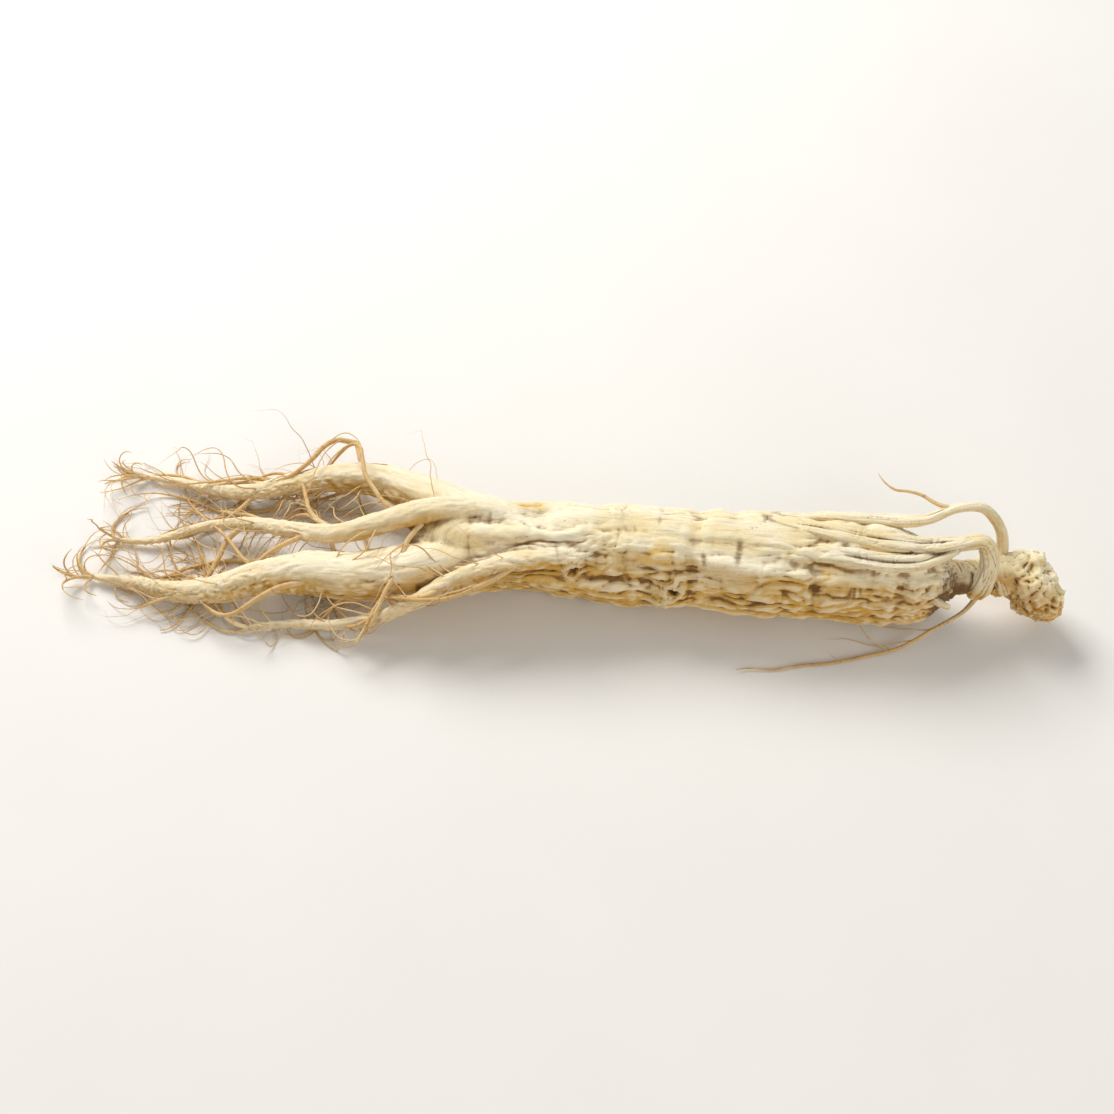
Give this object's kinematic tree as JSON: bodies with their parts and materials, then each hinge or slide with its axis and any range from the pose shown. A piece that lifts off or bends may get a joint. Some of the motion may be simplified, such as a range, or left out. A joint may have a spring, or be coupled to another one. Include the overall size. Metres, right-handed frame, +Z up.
{
  "type": "ginseng root",
  "caption": "Dried white ginseng root lying on its side: a stout ringed body with a knobbly crown, strands laid back from the neck, forked legs and thin rootlets.",
  "frame": {"origin": "middle of the footprint, on the surface that the root lies on", "axes": "+X along the root towards its crown, +Y to its far side as pictured, +Z up"},
  "size_m": [0.2586, 0.0614, 0.0293],
  "materials": {
    "root_skin": "dry, matt, finely wrinkled pale skin"
  },
  "bodies": {
    "root": {"ginseng_root": "root_skin"}
  },
  "joints": []
}
